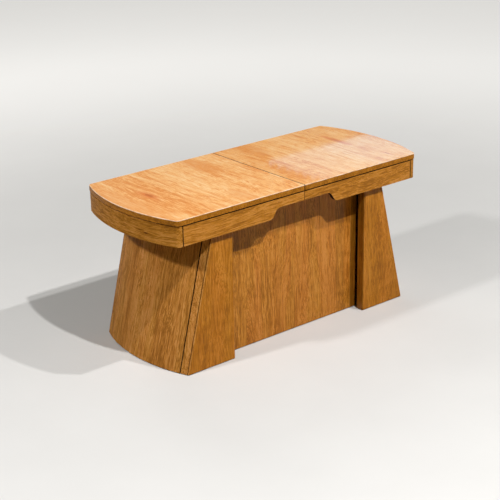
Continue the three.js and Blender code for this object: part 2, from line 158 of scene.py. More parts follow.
# Shader helpers
def node(tree, kind, inputs=None, **values):
    made = tree.nodes.new(kind)
    for key, value in values.items():
        setattr(made, key, value)
    for key, value in (inputs or {}).items():
        if isinstance(value, bpy.types.NodeSocket):
            tree.links.new(value, made.inputs[key])
        else:
            made.inputs[key].default_value = value
    return made


def calc(tree, operation, a, b=0.0, c=0.0, clamp=False):
    return node(tree, "ShaderNodeMath", {0: a, 1: b, 2: c}, operation=operation, use_clamp=clamp).outputs[0]


def noise(tree, place, scale, detail=2.0, roughness=0.5):
    inputs = {"Vector": place, "Scale": scale, "Detail": detail, "Roughness": roughness, "Distortion": 0.0}
    return node(tree, "ShaderNodeTexNoise", inputs).outputs["Fac"]


def vectorCalc(tree, operation, a, b):
    return node(tree, "ShaderNodeVectorMath", {0: a, 1: b}, operation=operation).outputs[0]


def vector(tree, x, y, z):
    return node(tree, "ShaderNodeCombineXYZ", {0: x, 1: y, 2: z}).outputs[0]


def split(tree, value):
    return node(tree, "ShaderNodeSeparateXYZ", {0: value}).outputs


# Noise in cells that are long and narrow: how often they repeat in a metre along the grain and across it
def grainNoise(tree, place, along, across, detail=2.0, roughness=0.5):
    return noise(tree, vectorCalc(tree, "MULTIPLY", place, (along, across, across)), 1.0, detail, roughness)


def mapRange(tree, value, low, high, toLow=0.0, toHigh=1.0):
    inputs = {"Value": value, "From Min": low, "From Max": high, "To Min": toLow, "To Max": toHigh}
    return node(tree, "ShaderNodeMapRange", inputs, interpolation_type="SMOOTHSTEP").outputs["Result"]


def mixColor(tree, factor, a, b, blend="MIX"):     # the color sockets of a Mix node are 6 and 7
    return node(tree, "ShaderNodeMix", {0: factor, 6: a, 7: b}, data_type="RGBA", blend_type=blend).outputs[2]


def newGroup(name, inputs, outputs, kind="ShaderNodeTree"):
    tree = bpy.data.node_groups.new(name, kind)
    for side, sockets in (("INPUT", inputs), ("OUTPUT", outputs)):
        for label, socket in sockets.items():
            tree.interface.new_socket(name=label, in_out=side, socket_type="NodeSocket" + socket)
    return tree, tree.nodes.new("NodeGroupInput").outputs, tree.nodes.new("NodeGroupOutput").inputs


grainLayers = {     # repeats in a metre along and across the grain, noise detail and roughness
    "broad": (1.3, 16.0, 3.0, 0.55),
    "bands": (3.2, 90.0, 4.0, 0.6),
    "streaks": (13.0, 330.0, 3.0, 0.6),
    "fibre": (30.0, 800.0, 2.0, 0.6),
    "flecks": (26.0, 430.0, 1.0, 0.5),
    "ripple": (46.0, 14.0, 2.0, 0.5),
    "mottle": (10.0, 44.0, 3.0, 0.6),
    "pores": (95.0, 1300.0, 1.0, 0.4),
    "blush": (0.9, 24.0, 2.0, 0.5),
}
grainLook = {
    "middleTone": 0.46,
    "shares": {"broad": 0.8, "mottle": 0.5, "streaks": 1.6, "fibre": 1.3, "ripple": 0.3},     # in the tone
    "flecks": 0.24,
    "setsIn": {"flecks": (0.56, 0.72), "blush": (0.38, 0.62), "pores": (0.62, 0.74)},        # on its noise
    "darkTo": 0.5, "lightFrom": 0.45,
    "drift": (2.2, 9.0), "swing": 0.09,         # the grain's slow wander across the board, in metres
    "leafStep": 3.75, "leafSkew": 1.37,         # what tells one veneer leaf's grain from the next
    "blushTint": (1.0, 0.84, 0.98, 1), "poreStain": 0.62,
    "fibreGloss": 0.16, "poreGloss": 0.2, "streakHeight": 0.35,
}


# Board: x along the grain, y across it, z through the thickness, in metres
def woodGrainGroup():
    values = ("Seed", "Leaf Width", "Leaf Tone", "Blush", "Figure", "Contrast", "Pores")
    colors = ("Dark", "Middle", "Light")
    inputs = {"Board": "Vector", **dict.fromkeys(values, "Float"), **dict.fromkeys(colors, "Color")}
    tree, given, out = newGroup("woodGrain", inputs, {"Color": "Color", "Gloss": "Float", "Height": "Float"})
    board = given["Board"]
    leaf = calc(tree, "FLOOR", calc(tree, "DIVIDE", split(tree, board)["Y"], given["Leaf Width"]))
    leafKey = calc(tree, "MULTIPLY_ADD", leaf, grainLook["leafStep"], given["Seed"])
    leafTone = node(tree, "ShaderNodeTexWhiteNoise", {"W": leafKey}, noise_dimensions="1D").outputs["Value"]
    shift = vector(tree, leafKey, calc(tree, "MULTIPLY", leafKey, grainLook["leafSkew"]), leafKey)
    moved = vectorCalc(tree, "ADD", board, shift)
    drift = grainNoise(tree, moved, *grainLook["drift"])
    swing = calc(tree, "MULTIPLY", calc(tree, "SUBTRACT", drift, 0.5), grainLook["swing"])
    flow = vectorCalc(tree, "ADD", moved, vector(tree, 0.0, swing, swing))
    layer = {name: grainNoise(tree, flow, *look) for name, look in grainLayers.items()}
    for name, (low, high) in grainLook["setsIn"].items():
        layer[name] = mapRange(tree, layer[name], low, high)

    tone = grainLook["middleTone"]
    swings = [(layer[name], share) for name, share in grainLook["shares"].items()]
    swings += [(layer["bands"], given["Figure"]), (leafTone, given["Leaf Tone"])]
    for value, share in swings:
        tone = calc(tree, "MULTIPLY_ADD", calc(tree, "SUBTRACT", value, 0.5), share, tone)
    tone = calc(tree, "MULTIPLY_ADD", layer["flecks"], grainLook["flecks"], tone)
    tone = calc(tree, "MULTIPLY_ADD", calc(tree, "SUBTRACT", tone, 0.5), given["Contrast"], 0.5)
    color = mixColor(tree, mapRange(tree, tone, 0.0, grainLook["darkTo"]), given["Dark"], given["Middle"])
    color = mixColor(tree, mapRange(tree, tone, grainLook["lightFrom"], 1.0), color, given["Light"])
    redder = calc(tree, "MULTIPLY", layer["blush"], given["Blush"])
    color = mixColor(tree, redder, color, grainLook["blushTint"], "MULTIPLY")
    pores = calc(tree, "MULTIPLY", layer["pores"], given["Pores"])
    poreStain = calc(tree, "MULTIPLY", pores, grainLook["poreStain"])
    tree.links.new(mixColor(tree, poreStain, color, given["Dark"], "MULTIPLY"), out["Color"])
    fibre = calc(tree, "SUBTRACT", layer["fibre"], 0.5)
    poreGloss = calc(tree, "MULTIPLY", pores, grainLook["poreGloss"])
    tree.links.new(calc(tree, "MULTIPLY_ADD", fibre, grainLook["fibreGloss"], poreGloss), out["Gloss"])
    height = calc(tree, "MULTIPLY", layer["streaks"], grainLook["streakHeight"])
    tree.links.new(calc(tree, "SUBTRACT", height, pores), out["Height"])
    return tree


# Arrises are painted paler, as wear and as a painted highlight; lines between boards are painted near black,
# as stain and as painted shade of the gaps
def edgeWearSheenAndShadeGroup():
    wear = {
        "cells": 38.0, "from": 0.3, "to": 0.62, "least": 0.45,
        "lineDark": 0.93, "lineColor": (0.012, 0.006, 0.003, 1),
    }
    tree, given, out = newGroup(
        "edgeWearSheenAndShade", {"Color": "Color", "Worn And Sheen": "Color", "Board": "Vector", "Amount": "Float"},
        {"Color": "Color", "Lacquer": "Float"},
    )
    arris = node(tree, "ShaderNodeAttribute", attribute_name="arris").outputs["Fac"]
    patch = noise(tree, given["Board"], wear["cells"], 3.0, 0.6)
    mask = mapRange(tree, patch, wear["from"], wear["to"], wear["least"], 1.0)
    mask = calc(tree, "MULTIPLY", mask, arris)
    mask = calc(tree, "MULTIPLY", mask, given["Amount"])
    # paler arrises: wear, and a painted highlight where light catches the rounded edge
    wornAndSheen = mixColor(tree, mask, given["Color"], given["Worn And Sheen"])
    line = node(tree, "ShaderNodeAttribute", attribute_name="line").outputs["Fac"]
    # near-black lines: stain, and painted shade where the gaps and the notch cuts lie in shade
    stainedAndShaded = mixColor(tree, calc(tree, "MULTIPLY", line, wear["lineDark"]), wornAndSheen, wear["lineColor"])
    tree.links.new(stainedAndShaded, out["Color"])
    tree.links.new(calc(tree, "SUBTRACT", 1.0, line), out["Lacquer"])
    return tree


ovalInputs = {"Board": "Vector", "Centre": "Vector", "Radius": "Float", "Length": "Float"}


# Distance from the centre of an oval drawn out along the grain: in metres, and in radii with a ragged rim
def raggedOval(tree, given, rim):
    offset = vectorCalc(tree, "SUBTRACT", given["Board"], given["Centre"])
    slim = vector(tree, calc(tree, "DIVIDE", 1.0, given["Length"]), 1.0, 0.0)
    oval = vectorCalc(tree, "MULTIPLY", offset, slim)
    distance = node(tree, "ShaderNodeVectorMath", {0: oval}, operation="LENGTH").outputs["Value"]
    ragged = grainNoise(tree, given["Board"], rim["along"], rim["across"], 3.0, rim["roughness"])
    radii = calc(tree, "DIVIDE", distance, given["Radius"])
    radii = calc(tree, "MULTIPLY_ADD", calc(tree, "SUBTRACT", ragged, 0.5), rim["depth"], radii)
    return offset, distance, radii


# A knot at one place of the board: its mask, and how far it pushes the grain aside
def knotGroup():
    knot = {
        "along": 60.0, "across": 90.0, "roughness": 0.5, "depth": 0.9,     # of its ragged rim
        "halo": (1.5, 0.35), "eye": (0.55, 0.2),     # radii where each starts and where it is full
        "reach": 3.0, "push": -0.7,
    }
    tree, given, out = newGroup("knot", ovalInputs, {"Board": "Vector", "Mask": "Float", "Eye": "Float"})
    offset, distance, radii = raggedOval(tree, given, knot)
    tree.links.new(mapRange(tree, radii, *knot["halo"]), out["Mask"])
    tree.links.new(mapRange(tree, radii, *knot["eye"]), out["Eye"])
    reach = calc(tree, "MULTIPLY", given["Radius"], knot["reach"])
    push = mapRange(tree, calc(tree, "DIVIDE", distance, reach), 1.0, 0.0)
    bent = calc(tree, "MULTIPLY", calc(tree, "MULTIPLY", split(tree, offset)["Y"], push), knot["push"])
    tree.links.new(vectorCalc(tree, "ADD", given["Board"], vector(tree, 0.0, bent, 0.0)), out["Board"])
    return tree


# A broad, soft darker patch: darker wood, and at the left end of the top painted shade where the light falls
# off
def darkPatchGroup():
    patch = {"along": 9.0, "across": 60.0, "roughness": 0.6, "depth": 1.2, "halo": (1.25, 0.55)}
    tree, given, out = newGroup("darkPatch", ovalInputs, {"Mask": "Float"})
    radii = raggedOval(tree, given, patch)[2]
    tree.links.new(mapRange(tree, radii, *patch["halo"]), out["Mask"])
    return tree


groups = {
    "woodGrain": woodGrainGroup(),
    "edgeWearSheenAndShade": edgeWearSheenAndShadeGroup(),
    "knot": knotGroup(),
    "darkPatch": darkPatchGroup(),
}


def useGroup(tree, name, inputs):
    return node(tree, "ShaderNodeGroup", inputs, node_tree=groups[name]).outputs


def newMaterial(name):
    material = bpy.data.materials.new(name)
    material.use_nodes = True
    tree = material.node_tree
    return material, tree, tree.nodes["Principled BSDF"]


palettes = {       # dark, middle, light and worn colours of each stained board; the worn colour paints the arrises, as wear and as a painted highlight
    "top": ((0.62, 0.225, 0.050), (0.745, 0.372, 0.126), (0.795, 0.518, 0.256), (0.88, 0.66, 0.44)),
    # the right slab's colours are a darker copy of the top's: painted shade that offsets the window's glare
    # on it
    "rightTop": ((0.60, 0.216, 0.046), (0.73, 0.355, 0.110), (0.77, 0.475, 0.222), (0.82, 0.62, 0.42)),
    # the lipping's pale worn colour is a painted highlight on the slab's top arris, as well as wear
    "lipping": ((0.26, 0.094, 0.007), (0.42, 0.155, 0.011), (0.55, 0.215, 0.020), (0.95, 0.80, 0.66)),
    "apron": ((0.32, 0.114, 0.005), (0.51, 0.193, 0.012), (0.65, 0.276, 0.050), (0.76, 0.42, 0.14)),
    "endApron": ((0.30, 0.116, 0.013), (0.49, 0.200, 0.024), (0.63, 0.286, 0.068), (0.76, 0.42, 0.14)),
    "pedestal": ((0.34, 0.119, 0.005), (0.52, 0.192, 0.010), (0.64, 0.260, 0.031), (0.74, 0.40, 0.12)),
    "panel": ((0.33, 0.133, 0.022), (0.56, 0.237, 0.045), (0.69, 0.336, 0.095), (0.74, 0.40, 0.12)),
    "box": ((0.34, 0.124, 0.012), (0.58, 0.223, 0.026), (0.71, 0.314, 0.058), (0.74, 0.40, 0.12)),
    "edge": ((0.18, 0.066, 0.004), (0.28, 0.106, 0.007), (0.40, 0.160, 0.014), (0.68, 0.34, 0.10)),
    "inner": ((0.40, 0.240, 0.110), (0.56, 0.370, 0.190), (0.66, 0.470, 0.270), (0.70, 0.52, 0.32)),
}
knotColors = {     # halo and eye
    "top": ((0.60, 0.165, 0.040, 1), (0.16, 0.040, 0.008, 1)),
    "rightTop": ((0.60, 0.165, 0.040, 1), (0.16, 0.040, 0.008, 1)),
    "endApron": ((0.26, 0.085, 0.008, 1), (0.06, 0.018, 0.004, 1)),
}
boardLook = {      # what a board has unless its own line says otherwise
    "leaf": (20.0, 0.0),     # width of a veneer leaf, and how far the leaves differ
    "figure": 1.0, "contrast": 1.5, "pores": 1.0, "blush": 0.0, "wear": 0.55,
    "coat": 0.13,            # lacquer
    "knots": (),             # each a place on the board, a radius, a length in radii and how dark its eye is
    "patches": (),           # each a place on the board, a radius, a length in radii and how dark it is
    "glueLine": None,        # its axis on the board, its distance from the middle and its half width
}
finishLook = {
    "halo": 0.75, "glue": 0.88, "glueColor": (0.03, 0.014, 0.005, 1),
    "roughness": 0.38, "bareRoughness": 0.6, "coatRoughness": 0.04,
    "specularShare": 0.9, "mostSpecular": 0.12, "bareSpecular": 0.3, "bump": 0.35, "bumpHeight": 0.0002,
}


def glueMask(tree, board, axis, place, half):
    away = calc(tree, "ABSOLUTE", split(tree, board)[axis])
    off = calc(tree, "ABSOLUTE", calc(tree, "SUBTRACT", away, place))
    return mapRange(tree, off, half * 1.4, half * 0.6, 0.0, finishLook["glue"])


# A stained and lacquered board
def woodMaterial(name, palette, seed, **changes):
    look = {**boardLook, **changes}
    material, tree, shader = newMaterial(name)
    dark, middle, light, wornAndSheen = (color + (1,) for color in palettes[palette])
    board = node(tree, "ShaderNodeAttribute", attribute_name="board").outputs["Vector"]
    masks = []
    for centre, radius, length, eye in look["knots"]:
        knot = useGroup(tree, "knot", {"Board": board, "Centre": centre, "Radius": radius, "Length": length})
        board = knot["Board"]
        masks.append((knot["Mask"], calc(tree, "MULTIPLY", knot["Eye"], eye)))
    grain = useGroup(tree, "woodGrain", {
        "Board": board, "Seed": seed, "Leaf Width": look["leaf"][0], "Leaf Tone": look["leaf"][1],
        "Blush": look["blush"], "Figure": look["figure"], "Contrast": look["contrast"],
        "Pores": look["pores"], "Dark": dark, "Middle": middle, "Light": light,
    })
    color = grain["Color"]
    for centre, radius, length, strength in look["patches"]:
        place = {"Board": board, "Centre": centre, "Radius": radius, "Length": length}
        patch = useGroup(tree, "darkPatch", place)["Mask"]
        color = mixColor(tree, calc(tree, "MULTIPLY", patch, strength), color, dark)
    for mask, eye in masks:
        haloColor, eyeColor = knotColors[palette]
        color = mixColor(tree, calc(tree, "MULTIPLY", mask, finishLook["halo"]), color, haloColor)
        color = mixColor(tree, eye, color, eyeColor)
    if look["glueLine"]:
        color = mixColor(tree, glueMask(tree, board, *look["glueLine"]), color, finishLook["glueColor"])
    edged = useGroup(tree, "edgeWearSheenAndShade", {"Color": color, "Worn And Sheen": wornAndSheen, "Board": board, "Amount": look["wear"]})
    tree.links.new(edged["Color"], shader.inputs["Base Color"])
    coat = look["coat"]
    rough = calc(tree, "ADD", grain["Gloss"], finishLook["roughness" if coat else "bareRoughness"])
    rough = calc(tree, "SUBTRACT", calc(tree, "ADD", rough, 1.0), edged["Lacquer"], clamp=True)
    tree.links.new(rough, shader.inputs["Roughness"])
    bump = node(tree, "ShaderNodeBump", {
        "Strength": finishLook["bump"], "Distance": finishLook["bumpHeight"], "Height": grain["Height"],
    })
    tree.links.new(bump.outputs["Normal"], shader.inputs["Normal"])
    specular = min(coat * finishLook["specularShare"], finishLook["mostSpecular"])
    shader.inputs["Specular IOR Level"].default_value = specular if coat else finishLook["bareSpecular"]
    tree.links.new(calc(tree, "MULTIPLY", edged["Lacquer"], coat), shader.inputs["Coat Weight"])
    shader.inputs["Coat Roughness"].default_value = finishLook["coatRoughness"]
    return material


def metalMaterial(name, color, roughness, streaks):
    metal = {
        "stains": 60.0, "stainFrom": 0.35, "stainTo": 0.75, "dull": 0.55,
        "brushRough": 0.25, "bump": 0.2, "bumpHeight": 0.0001,
    }
    material, tree, shader = newMaterial(name)
    place = node(tree, "ShaderNodeTexCoord").outputs["Object"]
    brushed = noise(tree, vectorCalc(tree, "MULTIPLY", place, streaks), 1.0, 3.0, 0.6)
    spots = noise(tree, place, metal["stains"], 3.0, 0.6)
    stain = mapRange(tree, spots, metal["stainFrom"], metal["stainTo"])
    dull = tuple(part * metal["dull"] for part in color[:3]) + (1,)
    tree.links.new(mixColor(tree, stain, color, dull), shader.inputs["Base Color"])
    rough = calc(tree, "MULTIPLY_ADD", brushed, metal["brushRough"], roughness)
    tree.links.new(rough, shader.inputs["Roughness"])
    shader.inputs["Metallic"].default_value = 1.0
    bump = node(tree, "ShaderNodeBump", {
        "Strength": metal["bump"], "Distance": metal["bumpHeight"], "Height": brushed,
    })
    tree.links.new(bump.outputs["Normal"], shader.inputs["Normal"])
    return material


def nylonMaterial():
    glide = {
        "grit": 900.0, "dark": (0.05, 0.035, 0.025, 1), "light": (0.12, 0.085, 0.06, 1),
        "roughness": 0.5, "gritRough": 0.2, "bump": 0.3, "bumpHeight": 0.0001,
    }
    material, tree, shader = newMaterial("glideNylon")
    place = node(tree, "ShaderNodeTexCoord").outputs["Object"]
    grit = noise(tree, place, glide["grit"], 3.0, 0.6)
    tree.links.new(mixColor(tree, grit, glide["dark"], glide["light"]), shader.inputs["Base Color"])
    rough = calc(tree, "MULTIPLY_ADD", grit, glide["gritRough"], glide["roughness"])
    tree.links.new(rough, shader.inputs["Roughness"])
    bump = node(tree, "ShaderNodeBump", {
        "Strength": glide["bump"], "Distance": glide["bumpHeight"], "Height": grit,
    })
    tree.links.new(bump.outputs["Normal"], shader.inputs["Normal"])
    return material


# The floor glows towards its far edge, and throws back less light on the bench than it shows
def floorMaterial():
    floor = {
        "dark": (0.61, 0.60, 0.585, 1), "light": (0.665, 0.655, 0.64, 1), "roughness": 0.85,
        "thrownBack": (0.30, 0.262, 0.145, 1),
        "glowFrom": 0.6, "glowTo": 3.6, "glow": 0.6, "glowColor": (1.0, 0.985, 0.96, 1),
    }
    material, tree, shader = newMaterial("paleFloor")
    place = node(tree, "ShaderNodeTexCoord").outputs["Object"]
    mottle = noise(tree, place, 3.0, 4.0, 0.6)
    pale = mixColor(tree, mottle, floor["dark"], floor["light"])
    shader.inputs["Roughness"].default_value = floor["roughness"]
    away = node(tree, "ShaderNodeVectorMath", {0: place}, operation="LENGTH").outputs["Value"]
    rays = node(tree, "ShaderNodeLightPath").outputs
    seen = calc(tree, "MAXIMUM", rays["Is Camera Ray"], rays["Is Glossy Ray"])
    seen = calc(tree, "MAXIMUM", seen, rays["Is Transmission Ray"])
    glow = mapRange(tree, away, floor["glowFrom"], floor["glowTo"], 0.0, floor["glow"])
    glow = calc(tree, "MULTIPLY", seen, glow)
    tree.links.new(mixColor(tree, seen, floor["thrownBack"], pale), shader.inputs["Base Color"])
    shader.inputs["Emission Color"].default_value = floor["glowColor"]
    tree.links.new(glow, shader.inputs["Emission Strength"])
    return material


placeCamera()
lightStage()
hangWindow()
print("camera and light placed")


# Mesh helpers
def cleanCopy(nodeName):
    clean = {"weld": 1e-5, "flatWithin": 0.5}      # metres and degrees
    bm = bmesh.new()
    bm.from_mesh(nodes[nodeName].data)
    bmesh.ops.remove_doubles(bm, verts=bm.verts, dist=clean["weld"])
    bmesh.ops.dissolve_limit(bm, angle_limit=radians(clean["flatWithin"]), verts=bm.verts, edges=bm.edges)
    return bm


def bevel(bm, edges, width, segments=2):
    made = bmesh.ops.bevel(
        bm, geom=edges, offset=width, offset_type="OFFSET", segments=segments, profile=0.5,
        affect="EDGES", clamp_overlap=True,
    )
    return made["faces"]


def easeEdges(bm, width, sharperThan=28):
    arris = bm.faces.layers.float.new("arris")
    closed = [edge for edge in bm.edges if len(edge.link_faces) == 2]
    sharp = [edge for edge in closed if edge.calc_face_angle() > radians(sharperThan)]
    for face in bevel(bm, sharp, width):
        face[arris] = 1.0


def writeBoard(bm, boardOf):
    layer = bm.verts.layers.float_vector.new("board")
    for vert in bm.verts:
        vert[layer] = boardOf(vert.co)


# Marks the faces that lie wholly inside a line between boards, and the down-facing cuts of a hand notch, to
# be painted near black as stain and painted shade
def markLine(bm, inLine, notchCut=False):
    endGrain = 0.3                             # takes a little more stain
    down, along, across = -0.2, 0.25, 0.3      # how the cut of a notch faces, painted dark as stain and painted shade
    layer = bm.faces.layers.float.new("line")
    for face in bm.faces:
        normal = face.normal
        isCut = notchCut and normal.z < down and abs(normal.x) > along and abs(normal.y) < across
        isSeamEnd = abs(normal.x) > square and abs(face.calc_center_median().x) < sizes["nearSeam"]
        inside = normal.z > -square and all(inLine(vert.co) for vert in face.verts)
        face[layer] = endGrain if isSeamEnd else float(inside or isCut)


def finishMesh(name, bm, materials, faceMaterial=None):
    for face in bm.faces:
        face.smooth = True
        if faceMaterial:
            face.material_index = faceMaterial(face)
    mesh = bpy.data.meshes.new(name)
    bm.to_mesh(mesh)
    bm.free()
    made = bpy.data.objects.new(name, mesh)
    for material in materials:
        mesh.materials.append(material)
    scene.collection.objects.link(made)
    normals = made.modifiers.new("faceNormals", "WEIGHTED_NORMAL")
    normals.weight = 100
    normals.keep_sharp = True
    return bakeModifiers(made)


def bakeModifiers(made):
    bpy.context.view_layer.update()
    graph = bpy.context.evaluated_depsgraph_get()
    evaluated = made.evaluated_get(graph)
    mesh = bpy.data.meshes.new_from_object(evaluated, preserve_all_data_layers=True, depsgraph=graph)
    old = made.data
    made.modifiers.clear()
    made.data = mesh
    bpy.data.meshes.remove(old)
    mesh.name = made.name
    return made


def standFor(made, nodeName):
    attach(made, nodeBody[nodeName])
    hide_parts(nodeName)


# Which way the grain of a straight board runs: the object axes that go along, across and through
grainAxes = {
    "x": lambda p: (p.x, p.z, p.y),
    "y": lambda p: (p.y, p.x, p.z),
    "upright": lambda p: (p.z, p.x, p.y),
    "uprightSide": lambda p: (p.z, p.y, p.x),
    "underY": lambda p: (p.y, p.z, p.x),
}


def straightBoard(nodeName, axes, materials, ease=sizes["arris"], inLine=None, faceMaterial=None):
    bm = cleanCopy(nodeName)
    easeEdges(bm, ease)
    if inLine:
        markLine(bm, inLine, notchCut=True)
    writeBoard(bm, grainAxes[axes])
    standFor(finishMesh(nodeName + "_board", bm, materials, faceMaterial), nodeName)


# Seat slabs: a face across the bench inside a lipping that follows the edge
def bowArc(cornerX, halfDepth, bow):
    radius = (halfDepth ** 2 + bow ** 2) / (2 * bow)
    return radius - bow - cornerX, radius


def roundedBowEnd(centre, radius, halfDepth, corner, steps=40, cornerSteps=8):
    reach, side = radius - corner, halfDepth - corner
    cornerX = centre - sqrt(reach ** 2 - side ** 2)
    bowAngle = asin(side / reach)
    front = []
    for i in range(cornerSteps):
        angle = -pi / 2 - (pi / 2 - bowAngle) * i / cornerSteps
        front.append((cornerX + corner * cos(angle), -side + corner * sin(angle)))
    arc = []
    for i in range(steps + 1):
        angle = -bowAngle + 2 * bowAngle * i / steps
        arc.append((centre - radius * cos(angle), radius * sin(angle)))
    return front + arc + [(x, -y) for x, y in reversed(front)]


def atSeam(edge):
    return all(abs(vert.co.x) < sizes["nearSeam"] for vert in edge.verts)


def isLevel(edge):
    return abs(edge.verts[0].co.z - edge.verts[1].co.z) < sizes["spare"]


def seatSlab(side):
    slab = {
        "corner": 0.014, "seamGap": 0.0006, "stainAndShadeAtSeam": 0.0018, "stainAndShadeUp": 0.0013,
        "ease": 0.0019, "seamEase": 0.0009, "easeSteps": 4, "sharperThan": 50, "flat": 0.75,
    }

    def lipped(face):
        return int(abs(face.normal.z) <= slab["flat"])

    nodeName = side + "_seat_slab"
    low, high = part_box(nodeName)
    turn = -1 if side == "right" else 1
    halfDepth = sizes["seatDepth"] / 2
    centre, radius = bowArc(sizes["cornerX"], halfDepth, sizes["bow"])
    end = roundedBowEnd(centre, radius, halfDepth, slab["corner"])
    outline = [(-slab["seamGap"], -halfDepth)] + end + [(-slab["seamGap"], halfDepth)]
    bm = bmesh.new()
    ring = [bm.verts.new((x * turn, y * turn, low.z)) for x, y in reversed(outline)]
    bottom = bm.faces.new(ring)
    raised = bmesh.ops.extrude_face_region(bm, geom=[bottom])["geom"]
    for vert in raised:
        if isinstance(vert, bmesh.types.BMVert):
            vert.co.z = high.z
    bmesh.ops.recalc_face_normals(bm, faces=bm.faces)
    arris = bm.faces.layers.float.new("arris")
    middle = (low.z + high.z) / 2
    for width, seam in ((slab["ease"], False), (slab["seamEase"], True)):
        sharp = [edge for edge in bm.edges if edge.calc_face_angle() > radians(slab["sharperThan"])]
        rim = [edge for edge in sharp if atSeam(edge) == seam and (seam or isLevel(edge))]
        for face in bevel(bm, rim, width, slab["easeSteps"]):
            # only the top arris is paled: wear, and a painted highlight along the lit top edge
            face[arris] = 1.0 if face.calc_center_median().z > middle else 0.0
    # the seam's edges and the slab's underside are painted near black: stain and painted shade of the gaps
    markLine(bm, lambda p: abs(p.x) < slab["stainAndShadeAtSeam"] or p.z < low.z + slab["stainAndShadeUp"])
    writeBoard(bm, lambda p: (p.y, p.x, p.z))
    materials = [wood[side + "Top"], wood["lipping"]]
    standFor(finishMesh(nodeName + "_board", bm, materials, lipped), nodeName)


# Bowed end aprons: the grain follows the bend
def bowedApron(side):
    nodeName = side + "_end_apron"
    turn = -1 if side == "right" else 1
    centre, radius = bowArc(sizes["cornerX"], sizes["seatDepth"] / 2, sizes["bow"])
    lineDeep = sizes["apronSetback"] + sizes["lineDepth"] + 2 * sizes["spare"]
    lineUp = sizes["slabBottom"] - sizes["shadowLine"] - sizes["nearLine"]

    def along(p):
        x, y = p.x * turn, p.y * turn
        out = sqrt((centre - x) ** 2 + y ** 2)
        return (radius * asin(y / out), p.z, radius - out)

    bm = cleanCopy(nodeName)
    easeEdges(bm, sizes["arris"])
    # the rebate under the slab is painted near black: stain and painted shade of the gap
    markLine(bm, lambda p: p.z > lineUp and along(p)[2] < lineDeep)
    writeBoard(bm, along)
    standFor(finishMesh(nodeName + "_board", bm, [wood[side + "EndApron"]]), nodeName)


def geometryTree(name, lengths, others):
    inputs = {"Geometry": "Geometry", **dict.fromkeys(lengths, "Float"), **others, "Material": "Material"}
    return newGroup(name, inputs, {"Geometry": "Geometry"}, "GeometryNodeTree")


def endTree(tree, out, geometry, material):
    real = node(tree, "GeometryNodeRealizeInstances", {"Geometry": geometry}).outputs["Geometry"]
    dressed = node(tree, "GeometryNodeSetMaterial", {"Geometry": real, "Material": material})
    tree.links.new(dressed.outputs["Geometry"], out["Geometry"])
    return tree


# Bowed, leaning end panels: a closed block bent by Geometry Nodes
def bowedPanelTree():
    lengths = ("Centre", "Radius", "Half Depth", "Thickness", "Line Width", "Line Depth", "Bottom", "Height")
    others = {"Lean": "Float", "Bend Steps": "Int", "Turn": "Float"}
    tree, given, out = geometryTree("bowedPanel", lengths, others)

    # Five rows of points through the thickness: two for the face between its lines, three for the board
    cube = node(tree, "GeometryNodeMeshCube", {
        "Size": (1, 1, 1), "Vertices X": 5, "Vertices Y": given["Bend Steps"], "Vertices Z": 5,
    })
    place = split(tree, node(tree, "GeometryNodeInputPosition").outputs[0])
    row = calc(tree, "ADD", place["X"], 0.5)
    behind = calc(tree, "GREATER_THAN", row, 0.4)
    inFace = calc(tree, "MINIMUM", calc(tree, "MULTIPLY", row, 4.0), 1.0)
    inFace = calc(tree, "MULTIPLY", inFace, given["Line Depth"])
    inBoard = calc(tree, "MULTIPLY", calc(tree, "SUBTRACT", row, 0.5), 2.0)
    inBoard = calc(tree, "MULTIPLY", inBoard, behind)
    boardThickness = calc(tree, "SUBTRACT", given["Thickness"], given["Line Depth"])
    deep = calc(tree, "MULTIPLY_ADD", inBoard, boardThickness, inFace)
    drawnIn = calc(tree, "MULTIPLY", calc(tree, "SUBTRACT", 1.0, behind), given["Line Width"])
    halfWidth = calc(tree, "SUBTRACT", given["Half Depth"], drawnIn)
    y = calc(tree, "MULTIPLY", calc(tree, "MULTIPLY", place["Y"], 2.0), halfWidth)
    up = calc(tree, "MULTIPLY", calc(tree, "ADD", place["Z"], 0.5), given["Height"])

    # Bent to its arc, leaned and turned to its end of the bench
    ring = calc(tree, "SUBTRACT", given["Radius"], deep)
    reach = calc(tree, "SUBTRACT", calc(tree, "MULTIPLY", ring, ring), calc(tree, "MULTIPLY", y, y))
    reach = calc(tree, "SQRT", reach)
    leaned = calc(tree, "MULTIPLY", up, given["Lean"])
    x = calc(tree, "ADD", calc(tree, "SUBTRACT", given["Centre"], reach), leaned)
    turnedX, turnedY = (calc(tree, "MULTIPLY", value, given["Turn"]) for value in (x, y))
    spot = vector(tree, turnedX, turnedY, calc(tree, "ADD", up, given["Bottom"]))
    arc = calc(tree, "MULTIPLY", given["Radius"], calc(tree, "ARCSINE", calc(tree, "DIVIDE", y, ring)))
    stored = node(tree, "GeometryNodeStoreNamedAttribute", data_type="FLOAT_VECTOR", domain="POINT")
    stored.inputs["Name"].default_value = "board"
    tree.links.new(cube.outputs["Mesh"], stored.inputs["Geometry"])
    tree.links.new(vector(tree, up, arc, deep), stored.inputs["Value"])
    bent = node(tree, "GeometryNodeSetPosition", {"Geometry": stored.outputs["Geometry"], "Position": spot})
    return endTree(tree, out, bent.outputs["Geometry"], given["Material"])


def setInputs(modifier, values):
    sockets = modifier.node_group.interface.items_tree
    named = {socket.name: socket.identifier for socket in sockets if socket.in_out == "INPUT"}
    for label, value in values.items():
        modifier[named[label]] = value


